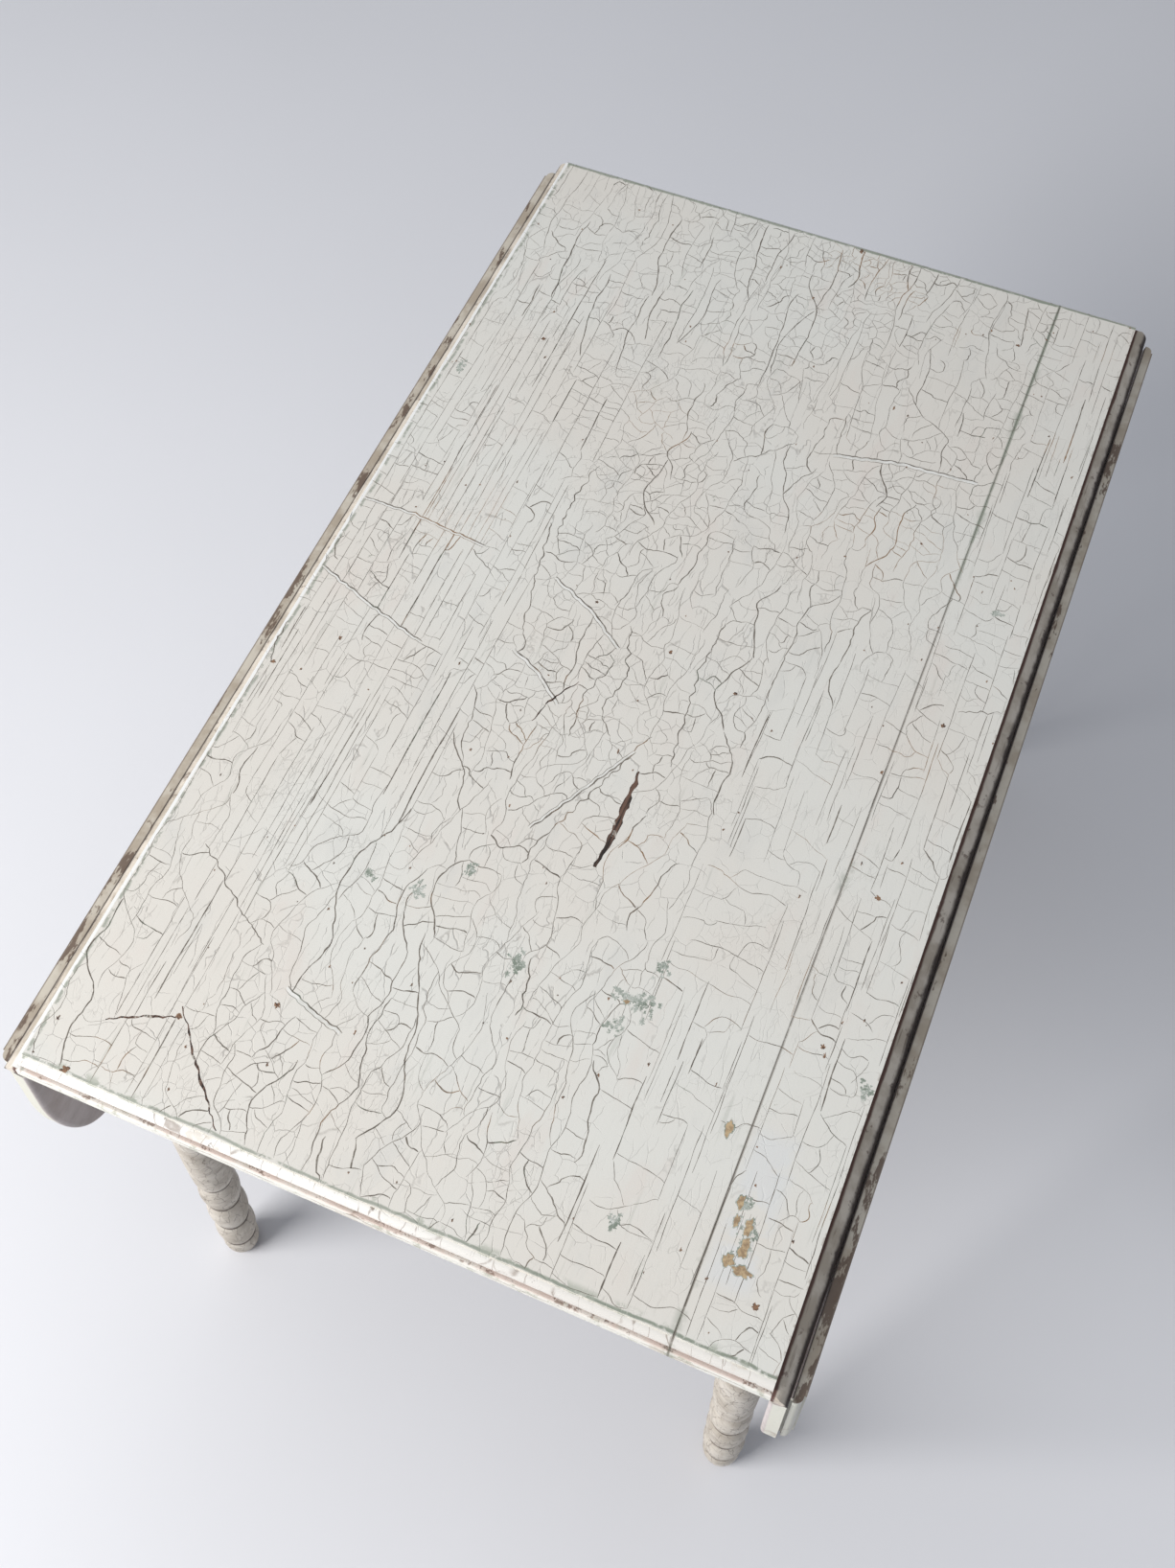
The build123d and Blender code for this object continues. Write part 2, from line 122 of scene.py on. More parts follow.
# ---- node material helper ----
class Finish:
    """A procedural material, built from short expressions on sockets and numbers."""

    def __init__(self, name):
        self.material = bpy.data.materials.new(name)
        self.material.use_nodes = True
        self.tree = self.material.node_tree
        self.shader = self.tree.nodes["Principled BSDF"]
        self.texture = self.tree.nodes.new("ShaderNodeTexCoord")
        self.place = self.texture.outputs["Object"]
        self.facing = self.texture.outputs["Normal"]

    def put(self, socket, value):
        self.feed(self.shader.inputs[socket], value)

    def feed(self, socket, value):
        if isinstance(value, bpy.types.NodeSocket):
            self.tree.links.new(value, socket)
        elif isinstance(value, tuple) and len(value) == 3 and socket.type == "RGBA":
            socket.default_value = (*value, 1)
        else:
            socket.default_value = value

    def colour(self, value):
        self.put("Base Color", value)

    def maths(self, kind, first, second=0.0, clamp=False):
        node = self.tree.nodes.new("ShaderNodeMath")
        node.operation = kind
        node.use_clamp = clamp
        self.feed(node.inputs[0], first)
        self.feed(node.inputs[1], second)
        return node.outputs[0]

    def add(self, first, second):
        return self.maths("ADD", first, second)

    def less(self, first, second):
        return self.maths("SUBTRACT", first, second)

    def times(self, first, second):
        return self.maths("MULTIPLY", first, second)

    def most(self, first, second):
        return self.maths("MAXIMUM", first, second)

    def size(self, first):
        return self.maths("ABSOLUTE", first)

    def ramp(self, value, start, end, low=0.0, high=1.0):
        """Smooth step of a value from low to high, between start and end."""
        node = self.tree.nodes.new("ShaderNodeMapRange")
        node.interpolation_type = "SMOOTHSTEP"
        self.feed(node.inputs["Value"], value)
        if start < end:
            node.inputs["From Min"].default_value = start
            node.inputs["From Max"].default_value = end
            node.inputs["To Min"].default_value = low
            node.inputs["To Max"].default_value = high
        else:
            node.inputs["From Min"].default_value = end
            node.inputs["From Max"].default_value = start
            node.inputs["To Min"].default_value = high
            node.inputs["To Max"].default_value = low
        return node.outputs["Result"]

    def blend(self, amount, first, second):
        node = self.tree.nodes.new("ShaderNodeMix")
        node.data_type = "RGBA"
        self.feed(node.inputs["Factor"], amount)
        self.feed(node.inputs[6], first)
        self.feed(node.inputs[7], second)
        return node.outputs[2]

    def touch(self, paint, where, amount, colour):
        """The paint, with a colour laid over it where a mask says."""
        return self.blend(self.times(where, amount), paint, colour)

    def shaken(self, value, noise_value, amount):
        """A value, moved to and fro by noise."""
        return self.add(value, self.times(self.less(noise_value, 0.5), amount))

    def near(self, value, place, far, close):
        """1 within a distance of a place, fading to 0 at a larger one."""
        return self.ramp(self.size(self.less(value, place)), far, close)

    def axes(self, vector):
        node = self.tree.nodes.new("ShaderNodeSeparateXYZ")
        self.feed(node.inputs[0], vector)
        return node.outputs

    def stretch(self, vector, scale, shift=(0.0, 0.0, 0.0)):
        node = self.tree.nodes.new("ShaderNodeMapping")
        self.feed(node.inputs["Vector"], vector)
        node.inputs["Scale"].default_value = scale
        node.inputs["Location"].default_value = shift
        return node.outputs[0]

    def noise(self, vector, scale, detail=4, rough=0.55, warp=0.0):
        node = self.tree.nodes.new("ShaderNodeTexNoise")
        self.feed(node.inputs["Vector"], vector)
        node.inputs["Scale"].default_value = scale
        node.inputs["Detail"].default_value = detail
        node.inputs["Roughness"].default_value = rough
        node.inputs["Distortion"].default_value = warp
        return node.outputs["Fac"]

    def warped(self, vector, scale, amount, detail=3):
        """The vector, pushed about by colour noise."""
        node = self.tree.nodes.new("ShaderNodeTexNoise")
        self.feed(node.inputs["Vector"], vector)
        node.inputs["Scale"].default_value = scale
        node.inputs["Detail"].default_value = detail
        centre = self.tree.nodes.new("ShaderNodeVectorMath")
        centre.operation = "SUBTRACT"
        self.tree.links.new(node.outputs["Color"], centre.inputs[0])
        centre.inputs[1].default_value = (0.5, 0.5, 0.5)
        push = self.tree.nodes.new("ShaderNodeVectorMath")
        push.operation = "MULTIPLY_ADD"
        self.tree.links.new(centre.outputs[0], push.inputs[0])
        push.inputs[1].default_value = (amount, amount, amount)
        self.feed(push.inputs[2], vector)
        return push.outputs[0]

    def cracks(self, vector, scale, width):
        """1 in the gaps between irregular cells, 0 on them."""
        node = self.tree.nodes.new("ShaderNodeTexVoronoi")
        node.feature = "DISTANCE_TO_EDGE"
        self.feed(node.inputs["Vector"], vector)
        node.inputs["Scale"].default_value = scale
        return self.ramp(node.outputs["Distance"], width, 0.0)

    def bump(self, height, strength, depth):
        node = self.tree.nodes.new("ShaderNodeBump")
        node.inputs["Strength"].default_value = strength
        node.inputs["Distance"].default_value = depth
        self.feed(node.inputs["Height"], height)
        self.put("Normal", node.outputs[0])


# ---- colours ----
PAINT_LIGHT = (0.757, 0.747, 0.695)
PAINT_WARM = (0.755, 0.72, 0.657)
PAINT_PINK = (0.74, 0.665, 0.605)
PAINT_GREY = (0.645, 0.64, 0.605)
PAINT_EDGE_LIT = (0.88, 0.87, 0.84)
PAINT_EDGE_SHADE = (0.70, 0.675, 0.635)
GREEN = (0.28, 0.31, 0.25)
CRACK = (0.17, 0.145, 0.12)
WOOD_GREY = (0.20, 0.165, 0.14)
WOOD_BROWN = (0.26, 0.15, 0.085)
WOOD_DARK = (0.055, 0.032, 0.022)
RED_BROWN_AND_STEP_SHADOW = (0.085, 0.026, 0.016)
RUST = (0.20, 0.085, 0.035)
# the top's face, moulded ends and joints
UNDERCOAT = (0.36, 0.38, 0.31)
WORN_BLUISH = (0.72, 0.735, 0.735)
WORN_GREEN = (0.40, 0.425, 0.35)
ROLL_CRACK = (0.26, 0.20, 0.16)
BAND_PAINT = (0.80, 0.79, 0.73)
CHIP_PALE = (0.60, 0.54, 0.46)
MOSS = (0.40, 0.42, 0.33)
SPECK = (0.18, 0.14, 0.11)
DIRT_PINK = (0.66, 0.52, 0.46)
DIRT_BLACK = (0.22, 0.14, 0.105)
LOOSE_EDGE = (0.24, 0.17, 0.125)
ARRIS_WEAR = (0.33, 0.33, 0.26)
OVOLO_LIGHT = (0.66, 0.595, 0.51)
OVOLO_DARK = (0.46, 0.40, 0.325)
OVOLO_STREAK = (0.20, 0.15, 0.115)
OVOLO_CHIP = (0.16, 0.11, 0.085)
JOINT_SHADE = (0.035, 0.022, 0.018)
JOINT_LINE = (0.27, 0.21, 0.17)
EDGE_HIGHLIGHT = (0.93, 0.93, 0.91)
SEAM_DIRT = (0.15, 0.125, 0.10)
# the leaves
LEAF_UNDERCOAT = (0.36, 0.36, 0.29)
LEAF_EDGE_GREEN = (0.60, 0.60, 0.50)
LEAF_EDGE_WOOD = (0.36, 0.29, 0.22)
NOSE_LIGHT = (0.61, 0.56, 0.475)
NOSE_DARK = (0.44, 0.375, 0.295)
NOSE_CHIP = (0.13, 0.085, 0.06)
COVE_SHADE = (0.045, 0.03, 0.024)
NOSE_EDGE_SHADE = (0.20, 0.16, 0.13)
INNER_LIGHT = (0.70, 0.64, 0.635)
INNER_DARK = (0.55, 0.49, 0.475)
# the legs and rails
LEG_LIGHT = (0.64, 0.59, 0.52)
LEG_DARK = (0.47, 0.42, 0.355)
LEG_RUNS = (0.42, 0.365, 0.30)
LEG_CRACK = (0.14, 0.105, 0.08)
LEG_BARE = (0.22, 0.16, 0.11)
LEG_GROOVE_SHADE = (0.06, 0.038, 0.026)
FOOT_DIRT = (0.16, 0.12, 0.09)
RAIL_WEAR = (0.34, 0.30, 0.24)
# iron, screws and bare wood
IRON_BLACK = (0.055, 0.05, 0.047)
IRON_PIT = (0.09, 0.045, 0.025)
STEEL_GREY = (0.22, 0.21, 0.20)
STEEL_RUST = (0.15, 0.08, 0.045)
WOOD_DUST = (0.30, 0.27, 0.24)
WOOD_WORN = (0.33, 0.23, 0.145)
# the marks on the top
CRACK_LIGHT = (0.20, 0.175, 0.145)
CRACK_DARK = (0.115, 0.095, 0.075)
CRACK_GREEN = (0.17, 0.19, 0.15)
CRACK_RUST = (0.34, 0.19, 0.09)
CRACK_DUST = (0.42, 0.395, 0.35)
SPLIT_DARK = (0.025, 0.018, 0.015)
SPLIT_BROWN = (0.15, 0.085, 0.06)
SPLIT_PAINT = (0.55, 0.52, 0.46)
FLAKE_PALE = (0.45, 0.48, 0.43)
FLAKE_GREEN = (0.22, 0.26, 0.21)
FLAKE_PAINT = (0.74, 0.735, 0.69)
FLAKE_WOOD = (0.24, 0.19, 0.13)
PUSHED_LIGHT = (0.84, 0.83, 0.79)
PUSHED_DARK = (0.70, 0.69, 0.64)
SPOT_RUST = (0.30, 0.17, 0.10)
SPOT_DARK = (0.07, 0.045, 0.035)
TAN_LIGHT = (0.56, 0.42, 0.25)
TAN_DARK = (0.33, 0.23, 0.14)


ALONG_X, ALONG_Y = 0, 1


def old_wood(finish, along):
    """Colour and height of unpainted aged wood, its grain running along one axis."""
    scale = [60.0, 60.0, 60.0]
    scale[along] = 3.0
    fibres = finish.noise(finish.stretch(finish.place, tuple(scale)), 4.0, 6, 0.65, 0.3)
    stains = finish.noise(finish.place, 9.0, 4, 0.6)
    blotches = finish.noise(finish.place, 26.0, 4, 0.65)
    colour = finish.blend(finish.ramp(fibres, 0.3, 0.7), WOOD_DARK, WOOD_GREY)
    colour = finish.blend(finish.ramp(stains, 0.45, 0.75, 0.0, 0.6), colour, WOOD_BROWN)
    colour = finish.blend(finish.ramp(blotches, 0.60, 0.72, 0.0, 0.5), colour, WOOD_DUST)
    return colour, fibres


def old_paint(finish):
    """Colour of the worn off-white paint, before cracks and edges."""
    large = finish.noise(finish.place, 5.0, 3, 0.5)
    middle = finish.noise(finish.stretch(finish.place, (1.0, 0.35, 1.0)), 28.0, 5, 0.6)
    small = finish.noise(finish.place, 260.0, 4, 0.7)
    streaks = finish.noise(finish.stretch(finish.place, (30.0, 2.0, 30.0)), 6.0, 4, 0.6)
    colour = finish.blend(finish.ramp(large, 0.35, 0.65), PAINT_LIGHT, PAINT_WARM)
    colour = finish.blend(finish.ramp(middle, 0.55, 0.75, 0.0, 0.45), colour, PAINT_PINK)
    colour = finish.blend(finish.ramp(middle, 0.45, 0.25, 0.0, 0.40), colour, PAINT_GREY)
    colour = finish.blend(finish.ramp(streaks, 0.62, 0.75, 0.0, 0.22), colour, GREEN)
    colour = finish.blend(finish.ramp(small, 0.60, 0.78, 0.0, 0.28), colour, PAINT_GREY)
    return colour, middle, small


def fine_crackle(finish):
    """Fine cracks, longer along the grain, each kind in its own part of the surface."""
    bent = finish.warped(finish.place, 45.0, 0.010)
    grain = finish.stretch(bent, (1.0, 0.16, 1.0))
    lines = finish.cracks(grain, 75.0, 0.028)
    cells = finish.cracks(finish.stretch(bent, (1.0, 0.75, 1.0), (3.0, 1.0, 0.0)), 58.0, 0.022)
    tiny = finish.cracks(finish.stretch(bent, (1.0, 0.6, 1.0), (7.0, 2.0, 0.0)), 150.0, 0.030)
    where = finish.noise(finish.place, 7.0, 2, 0.5)
    breaks = finish.noise(finish.place, 60.0, 3, 0.6)
    lines = finish.times(lines, finish.ramp(where, 0.58, 0.44))
    cells = finish.times(cells, finish.ramp(where, 0.46, 0.56))
    tiny = finish.times(tiny, finish.ramp(finish.noise(finish.place, 11.0, 3, 0.6), 0.54, 0.62))
    every = finish.most(finish.most(lines, cells), finish.times(tiny, 0.8))
    return finish.times(every, finish.ramp(breaks, 0.38, 0.56))


# ---- the top ----
def worn_face(finish, paint, flat, coarse):
    """Fine cracks, flaked places and wear on the flat face."""
    x, y, z = finish.axes(finish.place)

    # fine cracks, fewer at the right
    crackle = fine_crackle(finish)
    calm = finish.ramp(x, 0.06, 0.16, 1.0, 0.5)
    crackle = finish.times(finish.times(crackle, calm), flat)
    paint = finish.touch(paint, crackle, 0.36, CRACK)

    # flaked patches, down to a green undercoat with wood in the middle
    flakes = finish.noise(finish.stretch(finish.place, (1.0, 0.8, 1.0)), 46.0, 6, 0.72)
    flaked = finish.ramp(flakes, 0.70, 0.735)
    deep = finish.ramp(flakes, 0.76, 0.80)
    paint = finish.touch(paint, flaked, 0.7, UNDERCOAT)
    paint = finish.blend(deep, paint, WOOD_BROWN)

    # a worn, bluish place near the right front corner
    worn_x = finish.times(finish.ramp(x, 0.236, 0.250), finish.ramp(x, 0.286, 0.272))
    worn_y = finish.times(finish.ramp(y, -0.515, -0.500), finish.ramp(y, -0.375, -0.395))
    worn = finish.times(finish.times(worn_x, worn_y), finish.ramp(coarse, 0.40, 0.52))
    paint = finish.touch(paint, finish.times(worn, flat), 0.6, WORN_BLUISH)
    return paint, finish.most(crackle, flaked)


def worn_ends(finish, paint, flat, coarse, ragged):
    """The two moulded ends: worn edge of the face, roll with painted light on it, dirty groove, and the
    chipped band below.
    """
    x, y, z = finish.axes(finish.place)
    reach = finish.size(y)

    # worn edge of the face: a green grey line
    from_end = finish.less(reach, HALF_LENGTH)
    line_place = finish.shaken(from_end, coarse, 7 * MM)
    end_line = finish.times(
        finish.ramp(line_place, -3.4 * MM, -2.0 * MM),
        finish.ramp(line_place, 0.4 * MM, -1.0 * MM))
    end_line = finish.times(end_line, finish.ramp(ragged, 0.36, 0.50))
    end_line = finish.times(end_line, finish.ramp(x, -0.1, 0.24, 0.75, 1.0))
    paint = finish.blend(finish.times(end_line, flat), paint, GREEN)
    near_wear = finish.times(finish.ramp(y, -HALF_LENGTH + 9 * MM, -HALF_LENGTH + 3 * MM), flat)
    near_wear = finish.times(near_wear, finish.ramp(finish.noise(finish.place, 34.0, 5, 0.7), 0.52, 0.58))
    paint = finish.touch(paint, near_wear, 0.7, WORN_GREEN)
    far_line = finish.times(finish.ramp(y, HALF_LENGTH - 2.4 * MM, HALF_LENGTH - 0.8 * MM), flat)
    paint = finish.blend(finish.times(far_line, finish.ramp(ragged, 0.25, 0.5, 0.5, 0.95)), paint, GREEN)

    # paint on the roll, cracked across, with painted light: bright at the left, where the light falls, going
    # to painted shade at the right
    beyond = finish.ramp(from_end, 0.0, 1.0 * MM)
    roll = finish.times(finish.ramp(from_end, 0.3 * MM, 1.2 * MM), finish.ramp(z, QUIRK, TOP - 7 * MM))
    roll_paint_lit_to_shaded = finish.blend(finish.ramp(x, -0.20, 0.20), PAINT_EDGE_LIT, PAINT_EDGE_SHADE)
    paint = finish.touch(paint, roll, 0.85, roll_paint_lit_to_shaded)
    bent = finish.warped(finish.place, 40.0, 0.012)
    over = finish.cracks(finish.stretch(bent, (1.0, 0.2, 0.2)), 60.0, 0.022)
    over = finish.times(over, finish.times(roll, finish.ramp(coarse, 0.40, 0.52)))
    paint = finish.touch(paint, over, 0.7, ROLL_CRACK)

    # the band under the roll: chips, green patches and dark specks
    band = finish.times(finish.ramp(from_end, 6 * MM, 8 * MM), finish.ramp(z, QUIRK, QUIRK - 1.5 * MM))
    paint = finish.touch(paint, band, 0.5, BAND_PAINT)
    chips = finish.times(beyond, finish.ramp(coarse, 0.60, 0.66))
    paint = finish.touch(paint, chips, 0.6, CHIP_PALE)
    moss = finish.times(band, finish.ramp(finish.noise(finish.place, 60.0, 5, 0.75), 0.53, 0.62))
    paint = finish.touch(paint, moss, 0.7, MOSS)
    specks = finish.times(beyond, finish.ramp(ragged, 0.66, 0.72))
    paint = finish.touch(paint, specks, 0.8, SPECK)

    # dirt in the groove under the roll
    groove = finish.near(z, QUIRK, 2.6 * MM, 1.0 * MM)
    groove = finish.times(groove, beyond)
    dirty = finish.times(groove, finish.ramp(coarse, 0.40, 0.58, 0.30, 0.85))
    paint = finish.blend(dirty, paint, DIRT_PINK)
    black = finish.times(groove, finish.ramp(ragged, 0.56, 0.62))
    paint = finish.touch(paint, black, 0.80, DIRT_BLACK)

    # loose paint in a wandering line, and a worn lower arris
    wander = finish.shaken(z, finish.noise(finish.place, 30.0, 3, 0.5), 14 * MM)
    loose = finish.near(wander, TOP - 15 * MM, 0.8 * MM, 0.2 * MM)
    loose = finish.times(finish.times(loose, beyond), finish.ramp(coarse, 0.46, 0.54))
    paint = finish.touch(paint, loose, 0.75, LOOSE_EDGE)
    arris = finish.times(finish.ramp(z, TOP - 19 * MM, TOP - 22.5 * MM), beyond)
    arris = finish.times(arris, finish.ramp(finish.noise(finish.place, 80.0, 5, 0.75), 0.48, 0.54))
    paint = finish.touch(paint, arris, 0.75, ARRIS_WEAR)
    return paint, black


def worn_joints(finish, paint, flat, coarse, ragged):
    """The long edges: red-brown bare wood beside the face, darkened by a painted shadow of the step, dull
    paint on the ovolo, and painted shade towards the leaf.
    """
    x = finish.axes(finish.place)[0]
    out = finish.less(finish.size(x), HALF_WIDTH)
    wobble = finish.shaken(out, coarse, 4 * MM)
    rubbed = finish.ramp(out, 0.02 * MM, 0.12 * MM)
    bare = finish.times(rubbed, finish.ramp(wobble, 3.8 * MM, 1.8 * MM))
    dull = finish.blend(finish.ramp(coarse, 0.40, 0.62), OVOLO_LIGHT, OVOLO_DARK)
    streak = finish.noise(finish.stretch(finish.place, (40.0, 3.0, 40.0)), 8.0, 4, 0.6)
    dull = finish.blend(finish.ramp(streak, 0.58, 0.70, 0.0, 0.7), dull, OVOLO_STREAK)
    dull = finish.touch(dull, finish.ramp(ragged, 0.60, 0.66), 0.7, OVOLO_CHIP)
    low_place = finish.shaken(wobble, ragged, 3 * MM)
    dull = finish.blend(finish.ramp(low_place, 9.0 * MM, 12.4 * MM), dull, JOINT_SHADE)
    paint = finish.blend(rubbed, paint, dull)
    # red-brown bare wood beside the face, made darker by a painted shadow of the step
    paint = finish.touch(paint, bare, 0.94, RED_BROWN_AND_STEP_SHADOW)

    # dark rubbed line inside the right edge; a painted highlight and green lines inside the left one
    joint_line = finish.times(finish.ramp(out, -2.2 * MM, -0.2 * MM), finish.ramp(out, 0.05 * MM, 0.0))
    joint_line = finish.times(joint_line, finish.ramp(ragged, 0.50, 0.62))
    on_right = finish.ramp(x, 0.0, 0.1)
    joint_line = finish.times(finish.times(joint_line, flat), on_right)
    paint = finish.touch(paint, joint_line, 0.55, JOINT_LINE)
    # painted highlight: a bright line inside the left edge, on the side where the light falls
    left_edge_highlight = finish.times(finish.ramp(x, -HALF_WIDTH + 3.2 * MM, -HALF_WIDTH + 2.2 * MM), flat)
    paint = finish.touch(paint, left_edge_highlight, 0.9, EDGE_HIGHLIGHT)
    inner_place = finish.shaken(x, coarse, 7 * MM)
    inner_line = finish.times(
        finish.ramp(inner_place, -HALF_WIDTH + 7.0 * MM, -HALF_WIDTH + 5.0 * MM),
        finish.ramp(inner_place, -HALF_WIDTH + 2.6 * MM, -HALF_WIDTH + 3.8 * MM))
    inner_line = finish.times(finish.times(inner_line, flat), finish.ramp(ragged, 0.42, 0.54))
    paint = finish.touch(paint, inner_line, 0.75, GREEN)
    return paint


def worn_seam(finish, paint, coarse, ragged):
    """The two boards meet in a dark, broken line, green grey towards the back."""
    x, y, z = finish.axes(finish.place)
    from_seam = finish.size(finish.less(x, SEAM))
    reach = finish.size(y)
    near_ends = finish.ramp(reach, 0.28, 0.50, 0.62, 0.9)
    broken = finish.ramp(ragged, 0.30, 0.50, 0.60, 1.0)
    seam = finish.times(finish.ramp(from_seam, 1.5 * MM, 0.4 * MM), broken)
    paint = finish.blend(finish.times(seam, near_ends), paint, SEAM_DIRT)
    far_seam = finish.times(finish.ramp(from_seam, 2.2 * MM, 1.2 * MM), finish.ramp(y, 0.12, 0.22))
    paint = finish.blend(finish.times(far_seam, finish.ramp(coarse, 0.36, 0.50, 0.2, 0.7)), paint, GREEN)
    near_seam = finish.times(finish.ramp(from_seam, 7 * MM, 1.0 * MM), finish.ramp(coarse, 0.55, 0.66))
    paint = finish.touch(paint, near_seam, 0.45, GREEN)
    return paint


def top_finish():
    finish = Finish("old_paint_on_top")
    upward = finish.axes(finish.facing)[2]
    flat = finish.ramp(upward, 0.9, 0.98)
    ragged = finish.noise(finish.place, 95.0, 4, 0.7)
    coarse = finish.noise(finish.place, 24.0, 4, 0.65)
    paint, middle, small = old_paint(finish)
    paint, broken = worn_face(finish, paint, flat, coarse)
    paint, black = worn_ends(finish, paint, flat, coarse, ragged)
    paint = worn_joints(finish, paint, flat, coarse, ragged)
    paint = worn_seam(finish, paint, coarse, ragged)

    # bare underside
    below = finish.ramp(upward, -0.5, -0.8)
    finish.colour(finish.blend(below, paint, old_wood(finish, ALONG_Y)[0]))
    dents = finish.add(finish.times(middle, 0.5), finish.times(small, 0.12))
    height = finish.less(dents, finish.times(broken, 0.6))
    finish.bump(finish.less(height, finish.times(black, 0.8)), 0.5, 0.9 * MM)
    finish.put("Roughness", finish.ramp(middle, 0.3, 0.7, 0.50, 0.68))
    return finish.material


# ---- the leaves ----
def leaf_finish():
    finish = Finish("old_paint_on_leaves")
    x, y, z = finish.axes(finish.place)
    coarse = finish.noise(finish.place, 24.0, 4, 0.65)
    paint, middle, small = old_paint(finish)
    wood, fibres = old_wood(finish, ALONG_Y)
    outward = finish.times(finish.axes(finish.facing)[0], finish.maths("SIGN", x))

    crackle = fine_crackle(finish)
    face = finish.ramp(outward, 0.9, 0.98)
    paint = finish.touch(paint, finish.times(crackle, face), 0.65, CRACK)
    flakes = finish.noise(finish.stretch(finish.place, (1.0, 0.8, 1.0)), 40.0, 6, 0.72)
    flaked = finish.times(finish.ramp(flakes, 0.67, 0.70), finish.ramp(outward, -0.6, 0.0))
    paint = finish.touch(paint, flaked, 0.7, LEAF_UNDERCOAT)
    paint = finish.blend(finish.ramp(flakes, 0.74, 0.78), paint, WOOD_BROWN)

    # edges: greenish paint with wood showing
    edge = finish.ramp(finish.size(outward), 0.9, 0.6)
    paint = finish.touch(paint, edge, 0.55, LEAF_EDGE_GREEN)
    rubbed = finish.times(edge, finish.ramp(coarse, 0.60, 0.70))
    paint = finish.touch(paint, rubbed, 0.7, LEAF_EDGE_WOOD)

    # nose and cove of the rule joint: beige, chipped dark, with painted shade beside the gap and a dark brown
    # painted shade along its outer lip
    nose = finish.ramp(z, LEAF_EDGE - 2.5 * MM, LEAF_EDGE - 0.8 * MM)
    beige = finish.blend(finish.ramp(coarse, 0.38, 0.62), NOSE_LIGHT, NOSE_DARK)
    long_chips = finish.noise(finish.stretch(finish.place, (1.0, 0.3, 1.0)), 60.0, 5, 0.7)
    beige = finish.blend(finish.ramp(long_chips, 0.53, 0.58, 0.0, 0.9), beige, NOSE_CHIP)
    span = finish.less(finish.size(x), HALF_WIDTH)
    beige = finish.blend(finish.ramp(span, 16.4 * MM, 15.0 * MM), beige, COVE_SHADE)
    # painted shade: darker along the outer edge of the nose, where it turns away from the light
    beige = finish.blend(finish.ramp(span, 22.4 * MM, 23.4 * MM, 0.0, 0.75), beige, NOSE_EDGE_SHADE)
    paint = finish.blend(nose, paint, beige)
    inside = finish.ramp(outward, 0.0, -0.35)
    pale = finish.blend(finish.ramp(coarse, 0.35, 0.65), INNER_LIGHT, INNER_DARK)
    finish.colour(finish.blend(inside, paint, finish.blend(0.75, wood, pale)))
    height = finish.add(finish.times(middle, 0.5), finish.times(small, 0.12))
    height = finish.less(height, finish.times(finish.most(finish.times(crackle, face), flaked), 0.6))
    height = finish.add(height, finish.times(finish.times(fibres, inside), 0.5))
    finish.bump(height, 0.5, 0.9 * MM)
    finish.put("Roughness", finish.ramp(middle, 0.3, 0.7, 0.52, 0.72))
    return finish.material


# ---- the legs ----
GROOVE_HEIGHTS = (0.038, 0.094, 0.156, 0.216)


def leg_finish():
    finish = Finish("old_paint_on_legs")
    z = finish.axes(finish.place)[2]
    coarse = finish.noise(finish.place, 30.0, 4, 0.65)
    ragged = finish.noise(finish.place, 110.0, 4, 0.7)
    small = finish.noise(finish.place, 260.0, 4, 0.7)
    colour = finish.blend(finish.ramp(coarse, 0.35, 0.65), LEG_LIGHT, LEG_DARK)
    runs = finish.noise(finish.stretch(finish.place, (26.0, 26.0, 2.4)), 5.0, 4, 0.6)
    colour = finish.blend(finish.ramp(runs, 0.55, 0.72, 0.0, 0.5), colour, LEG_RUNS)
    bent = finish.warped(finish.place, 60.0, 0.008)
    crackle = finish.cracks(finish.stretch(bent, (1.0, 1.0, 0.35)), 85.0, 0.035)
    rings = finish.cracks(finish.stretch(bent, (0.5, 0.5, 1.3), (4.0, 2.0, 1.0)), 75.0, 0.035)
    crackle = finish.times(finish.most(crackle, finish.times(rings, 0.7)), finish.ramp(ragged, 0.38, 0.55))
    colour = finish.touch(colour, crackle, 0.7, LEG_CRACK)
    bare = finish.ramp(coarse, 0.66, 0.70)
    colour = finish.touch(colour, bare, 0.75, LEG_BARE)
    # painted shade in the turned grooves: near black, broken up by noise
    groove_shade = None
    for level in GROOVE_HEIGHTS:
        one = finish.near(z, level, 3.6 * MM, 0.8 * MM)
        groove_shade = one if groove_shade is None else finish.most(groove_shade, one)
    groove_shade = finish.times(groove_shade, finish.ramp(ragged, 0.32, 0.50, 0.7, 1.0))
    colour = finish.touch(colour, groove_shade, 0.92, LEG_GROOVE_SHADE)
    foot = finish.ramp(finish.shaken(z, coarse, 0.02), 0.012, 0.002)
    colour = finish.touch(colour, foot, 0.8, FOOT_DIRT)
    finish.colour(colour)
    height = finish.add(finish.times(coarse, 0.6), finish.times(small, 0.15))
    finish.bump(finish.less(height, finish.times(finish.most(crackle, bare), 0.6)), 0.55, 0.9 * MM)
    finish.put("Roughness", finish.ramp(coarse, 0.3, 0.7, 0.50, 0.70))
    return finish.material


